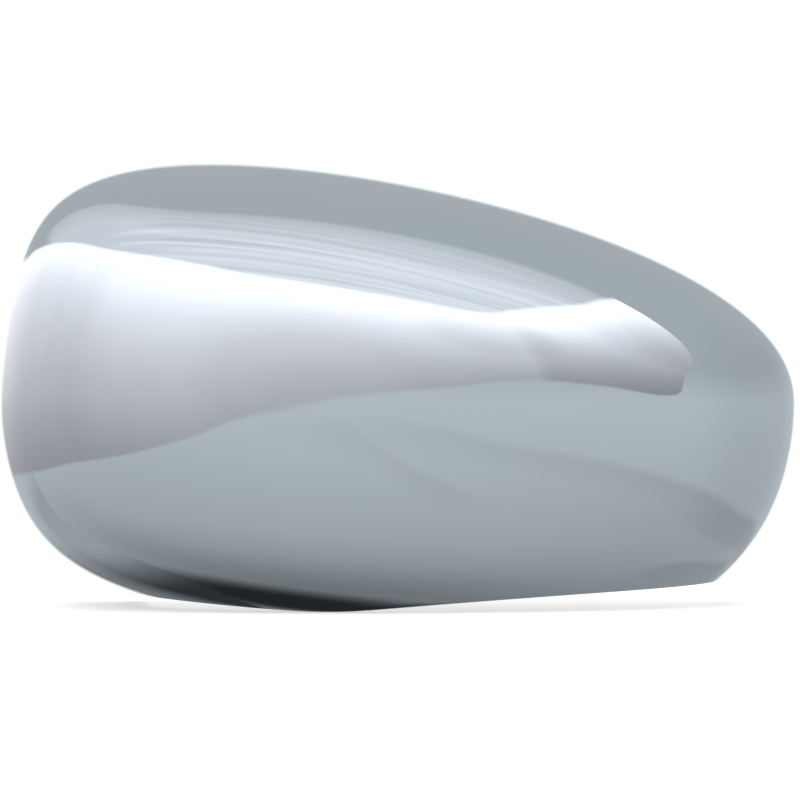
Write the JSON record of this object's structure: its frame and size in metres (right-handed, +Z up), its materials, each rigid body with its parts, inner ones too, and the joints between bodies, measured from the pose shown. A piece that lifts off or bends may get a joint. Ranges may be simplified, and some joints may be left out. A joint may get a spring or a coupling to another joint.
{
  "type": "wing mirror cover",
  "caption": "Domed chrome-plated shell that clips over the front of a car's door mirror housing, open at the rear and along its lower edge, with moulded hooks and pegs inside.",
  "frame": {"origin": "centre of the rear opening: in the plane of the rear rim, at the level of the two end tips, halfway between them", "axes": "+Z up, -Y the way the car drives, +X towards the door"},
  "size_m": [0.2397, 0.076, 0.1337],
  "materials": {
    "chrome_plating": "bright polished"
  },
  "bodies": {
    "root": {"mirror_cover": "chrome_plating"}
  },
  "joints": []
}
